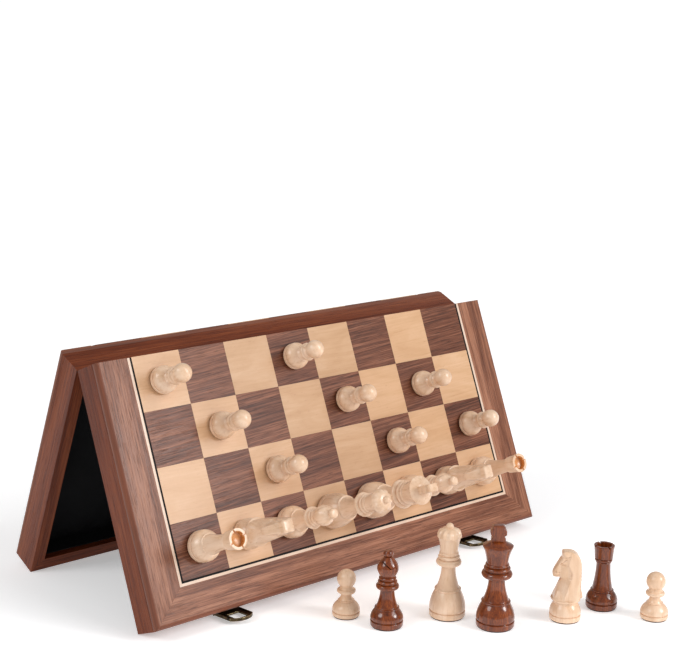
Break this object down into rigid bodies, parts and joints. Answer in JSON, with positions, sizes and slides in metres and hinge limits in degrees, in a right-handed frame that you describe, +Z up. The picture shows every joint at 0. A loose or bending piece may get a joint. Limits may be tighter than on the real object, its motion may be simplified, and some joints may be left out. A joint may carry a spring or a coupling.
{
  "type": "folding chess set",
  "caption": "Folding wooden chess board box standing as a tent, hinged halves with swinging catches, and turned magnetic men on its slopes and before it.",
  "frame": {"origin": "middle of the set's footprint, on the table", "axes": "+X along the files from a to h, -Y towards the side of the light men, +Z up"},
  "size_m": [0.3786, 0.4322, 0.1831],
  "materials": {
    "walnut": "satin lacquer on solid walnut",
    "walnut_veneer": "open-grained walnut veneer, satin",
    "maple": "smooth maple veneer, satin",
    "plywood": "plain plywood, hidden",
    "inlay": "light and black string inlay",
    "boxwood": "clear lacquer on pale turned wood",
    "stained_wood": "glossy red-brown stain",
    "lining": "black short-pile velvet",
    "bronze": "aged bronze, rubbed bright on edges",
    "steel": "plain steel"
  },
  "bodies": {
    "front_half": {"front_walls": "walnut", "front_panel": "plywood", "front_steel_sheet": "steel", "front_border": "walnut_veneer", "front_strings": "inlay", "front_light_squares": "maple", "front_dark_squares": "walnut_veneer", "front_lining": "lining", "front_hinge_leaves": "bronze", "hinge_pins": "steel", "catch_plates": "bronze", "catch_pins": "steel"},
    "back_half": {"back_walls": "walnut", "back_panel": "plywood", "back_steel_sheet": "steel", "back_border": "walnut_veneer", "back_strings": "inlay", "back_light_squares": "maple", "back_dark_squares": "walnut_veneer", "back_lining": "lining", "back_hinge_leaves": "bronze", "catch_keepers": "bronze"},
    "left_loop": {"left_catch_loop": "bronze"},
    "right_loop": {"right_catch_loop": "bronze"},
    "light_rook_a1": {"light_rook_a1": "boxwood"},
    "light_knight_b1": {"light_knight_b1": "boxwood"},
    "light_bishop_c1": {"light_bishop_c1": "boxwood"},
    "light_queen_d1": {"light_queen_d1": "boxwood"},
    "light_king_e1": {"light_king_e1": "boxwood"},
    "light_bishop_f1": {"light_bishop_f1": "boxwood"},
    "light_knight_g1": {"light_knight_g1": "boxwood"},
    "light_rook_h1": {"light_rook_h1": "boxwood"},
    "light_pawn_a4": {"light_pawn_a4": "boxwood"},
    "light_pawn_b3": {"light_pawn_b3": "boxwood"},
    "light_pawn_c2": {"light_pawn_c2": "boxwood"},
    "light_pawn_d4": {"light_pawn_d4": "boxwood"},
    "light_pawn_e3": {"light_pawn_e3": "boxwood"},
    "light_pawn_f2": {"light_pawn_f2": "boxwood"},
    "light_pawn_g3": {"light_pawn_g3": "boxwood"},
    "light_pawn_h2": {"light_pawn_h2": "boxwood"},
    "dark_rook_a8": {"dark_rook_a8": "stained_wood"},
    "dark_knight_b8": {"dark_knight_b8": "stained_wood"},
    "dark_bishop_c8": {"dark_bishop_c8": "stained_wood"},
    "dark_queen_e8": {"dark_queen_e8": "stained_wood"},
    "dark_knight_g8": {"dark_knight_g8": "stained_wood"},
    "dark_pawn_a6": {"dark_pawn_a6": "stained_wood"},
    "dark_pawn_b7": {"dark_pawn_b7": "stained_wood"},
    "dark_pawn_c6": {"dark_pawn_c6": "stained_wood"},
    "dark_pawn_d7": {"dark_pawn_d7": "stained_wood"},
    "dark_pawn_e6": {"dark_pawn_e6": "stained_wood"},
    "dark_pawn_f7": {"dark_pawn_f7": "stained_wood"},
    "dark_pawn_g6": {"dark_pawn_g6": "stained_wood"},
    "dark_pawn_h7": {"dark_pawn_h7": "stained_wood"},
    "light_pawn_standing_left": {"light_pawn_standing_left": "boxwood"},
    "dark_bishop_standing": {"dark_bishop_standing": "stained_wood"},
    "light_queen_standing": {"light_queen_standing": "boxwood"},
    "dark_king_standing": {"dark_king_standing": "stained_wood"},
    "light_knight_standing": {"light_knight_standing": "boxwood"},
    "dark_rook_standing": {"dark_rook_standing": "stained_wood"},
    "light_pawn_standing_right": {"light_pawn_standing_right": "boxwood"}
  },
  "joints": [
    {"name": "board_fold", "type": "hinge", "parent": "front_half", "child": "back_half", "pos_m": [0, 0.07293, 0.17355], "axis": [1, 0, 0], "range_deg": [-45.8, 134.2]},
    {"name": "catch_left_swing", "type": "hinge", "parent": "front_half", "child": "left_loop", "pos_m": [-0.12, -0.00742, 0.00145], "axis": [1, 0, 0], "range_deg": [-6, 162]},
    {"name": "catch_right_swing", "type": "hinge", "parent": "front_half", "child": "right_loop", "pos_m": [0.12, -0.00742, 0.00145], "axis": [1, 0, 0], "range_deg": [-6, 162]},
    {"name": "light_rook_a1_lift", "type": "slide", "parent": "front_half", "child": "light_rook_a1", "axis": [0, -0.9212, 0.3891], "range_m": [0, 0.025]},
    {"name": "light_knight_b1_lift", "type": "slide", "parent": "front_half", "child": "light_knight_b1", "axis": [0, -0.9212, 0.3891], "range_m": [0, 0.025]},
    {"name": "light_bishop_c1_lift", "type": "slide", "parent": "front_half", "child": "light_bishop_c1", "axis": [0, -0.9212, 0.3891], "range_m": [0, 0.025]},
    {"name": "light_queen_d1_lift", "type": "slide", "parent": "front_half", "child": "light_queen_d1", "axis": [0, -0.9212, 0.3891], "range_m": [0, 0.025]},
    {"name": "light_king_e1_lift", "type": "slide", "parent": "front_half", "child": "light_king_e1", "axis": [0, -0.9212, 0.3891], "range_m": [0, 0.025]},
    {"name": "light_bishop_f1_lift", "type": "slide", "parent": "front_half", "child": "light_bishop_f1", "axis": [0, -0.9212, 0.3891], "range_m": [0, 0.025]},
    {"name": "light_knight_g1_lift", "type": "slide", "parent": "front_half", "child": "light_knight_g1", "axis": [0, -0.9212, 0.3891], "range_m": [0, 0.025]},
    {"name": "light_rook_h1_lift", "type": "slide", "parent": "front_half", "child": "light_rook_h1", "axis": [0, -0.9212, 0.3891], "range_m": [0, 0.025]},
    {"name": "light_pawn_a4_lift", "type": "slide", "parent": "front_half", "child": "light_pawn_a4", "axis": [0, -0.9212, 0.3891], "range_m": [0, 0.025]},
    {"name": "light_pawn_b3_lift", "type": "slide", "parent": "front_half", "child": "light_pawn_b3", "axis": [0, -0.9212, 0.3891], "range_m": [0, 0.025]},
    {"name": "light_pawn_c2_lift", "type": "slide", "parent": "front_half", "child": "light_pawn_c2", "axis": [0, -0.9212, 0.3891], "range_m": [0, 0.025]},
    {"name": "light_pawn_d4_lift", "type": "slide", "parent": "front_half", "child": "light_pawn_d4", "axis": [0, -0.9212, 0.3891], "range_m": [0, 0.025]},
    {"name": "light_pawn_e3_lift", "type": "slide", "parent": "front_half", "child": "light_pawn_e3", "axis": [0, -0.9212, 0.3891], "range_m": [0, 0.025]},
    {"name": "light_pawn_f2_lift", "type": "slide", "parent": "front_half", "child": "light_pawn_f2", "axis": [0, -0.9212, 0.3891], "range_m": [0, 0.025]},
    {"name": "light_pawn_g3_lift", "type": "slide", "parent": "front_half", "child": "light_pawn_g3", "axis": [0, -0.9212, 0.3891], "range_m": [0, 0.025]},
    {"name": "light_pawn_h2_lift", "type": "slide", "parent": "front_half", "child": "light_pawn_h2", "axis": [0, -0.9212, 0.3891], "range_m": [0, 0.025]},
    {"name": "dark_rook_a8_lift", "type": "slide", "parent": "back_half", "child": "dark_rook_a8", "axis": [0, 0.9212, 0.3891], "range_m": [0, 0.025]},
    {"name": "dark_knight_b8_lift", "type": "slide", "parent": "back_half", "child": "dark_knight_b8", "axis": [0, 0.9212, 0.3891], "range_m": [0, 0.025]},
    {"name": "dark_bishop_c8_lift", "type": "slide", "parent": "back_half", "child": "dark_bishop_c8", "axis": [0, 0.9212, 0.3891], "range_m": [0, 0.025]},
    {"name": "dark_queen_e8_lift", "type": "slide", "parent": "back_half", "child": "dark_queen_e8", "axis": [0, 0.9212, 0.3891], "range_m": [0, 0.025]},
    {"name": "dark_knight_g8_lift", "type": "slide", "parent": "back_half", "child": "dark_knight_g8", "axis": [0, 0.9212, 0.3891], "range_m": [0, 0.025]},
    {"name": "dark_pawn_a6_lift", "type": "slide", "parent": "back_half", "child": "dark_pawn_a6", "axis": [0, 0.9212, 0.3891], "range_m": [0, 0.025]},
    {"name": "dark_pawn_b7_lift", "type": "slide", "parent": "back_half", "child": "dark_pawn_b7", "axis": [0, 0.9212, 0.3891], "range_m": [0, 0.025]},
    {"name": "dark_pawn_c6_lift", "type": "slide", "parent": "back_half", "child": "dark_pawn_c6", "axis": [0, 0.9212, 0.3891], "range_m": [0, 0.025]},
    {"name": "dark_pawn_d7_lift", "type": "slide", "parent": "back_half", "child": "dark_pawn_d7", "axis": [0, 0.9212, 0.3891], "range_m": [0, 0.025]},
    {"name": "dark_pawn_e6_lift", "type": "slide", "parent": "back_half", "child": "dark_pawn_e6", "axis": [0, 0.9212, 0.3891], "range_m": [0, 0.025]},
    {"name": "dark_pawn_f7_lift", "type": "slide", "parent": "back_half", "child": "dark_pawn_f7", "axis": [0, 0.9212, 0.3891], "range_m": [0, 0.025]},
    {"name": "dark_pawn_g6_lift", "type": "slide", "parent": "back_half", "child": "dark_pawn_g6", "axis": [0, 0.9212, 0.3891], "range_m": [0, 0.025]},
    {"name": "dark_pawn_h7_lift", "type": "slide", "parent": "back_half", "child": "dark_pawn_h7", "axis": [0, 0.9212, 0.3891], "range_m": [0, 0.025]},
    {"name": "light_pawn_standing_left_lift", "type": "slide", "parent": "front_half", "child": "light_pawn_standing_left", "axis": [0, 0, 1], "range_m": [0, 0.025]},
    {"name": "dark_bishop_standing_lift", "type": "slide", "parent": "front_half", "child": "dark_bishop_standing", "axis": [0, 0, 1], "range_m": [0, 0.025]},
    {"name": "light_queen_standing_lift", "type": "slide", "parent": "front_half", "child": "light_queen_standing", "axis": [0, 0, 1], "range_m": [0, 0.025]},
    {"name": "dark_king_standing_lift", "type": "slide", "parent": "front_half", "child": "dark_king_standing", "axis": [0, 0, 1], "range_m": [0, 0.025]},
    {"name": "light_knight_standing_lift", "type": "slide", "parent": "front_half", "child": "light_knight_standing", "axis": [0, 0, 1], "range_m": [0, 0.025]},
    {"name": "dark_rook_standing_lift", "type": "slide", "parent": "front_half", "child": "dark_rook_standing", "axis": [0, 0, 1], "range_m": [0, 0.025]},
    {"name": "light_pawn_standing_right_lift", "type": "slide", "parent": "front_half", "child": "light_pawn_standing_right", "axis": [0, 0, 1], "range_m": [0, 0.025]}
  ]
}
